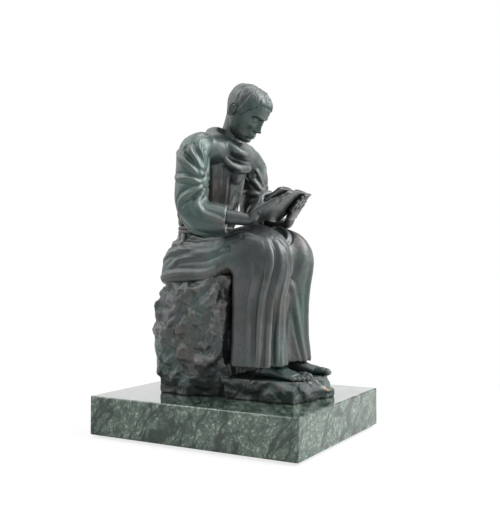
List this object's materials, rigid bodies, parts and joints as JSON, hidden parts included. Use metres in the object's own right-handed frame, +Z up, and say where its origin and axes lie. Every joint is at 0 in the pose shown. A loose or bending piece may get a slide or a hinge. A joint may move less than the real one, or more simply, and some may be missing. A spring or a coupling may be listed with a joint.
{
  "type": "seated figure statue",
  "caption": "Bronze statuette of a robed reader seated on a rough rock with an open book, bolted to a polished marble slab.",
  "frame": {"origin": "middle of the marble slab, on the plane that the felt pads rest on", "axes": "+Z up, the figure faces -Y, and its right hand is on the -X side"},
  "size_m": [0.148, 0.18, 0.2792],
  "materials": {
    "bronze": "waxed dark green patina",
    "marble": "polished green marble",
    "felt": "felt",
    "steel": "zinc plated",
    "pin_brass": "drawn rod"
  },
  "bodies": {
    "root": {"marble_slab": "marble", "felt_pads": "felt", "mounting_bolts": "steel", "mounting_strap": "steel", "rock_seat": "bronze", "seat_screws": "steel", "robe_skirt": "bronze", "girdle": "bronze", "torso": "bronze", "head": "bronze", "right_sleeve": "bronze", "left_sleeve": "bronze", "right_hand": "bronze", "left_hand": "bronze", "right_foot": "bronze", "left_foot": "bronze", "book_cover": "bronze", "book_pages": "bronze", "waist_pins": "pin_brass", "neck_pin": "pin_brass", "shoulder_pins": "pin_brass"}
  },
  "joints": []
}
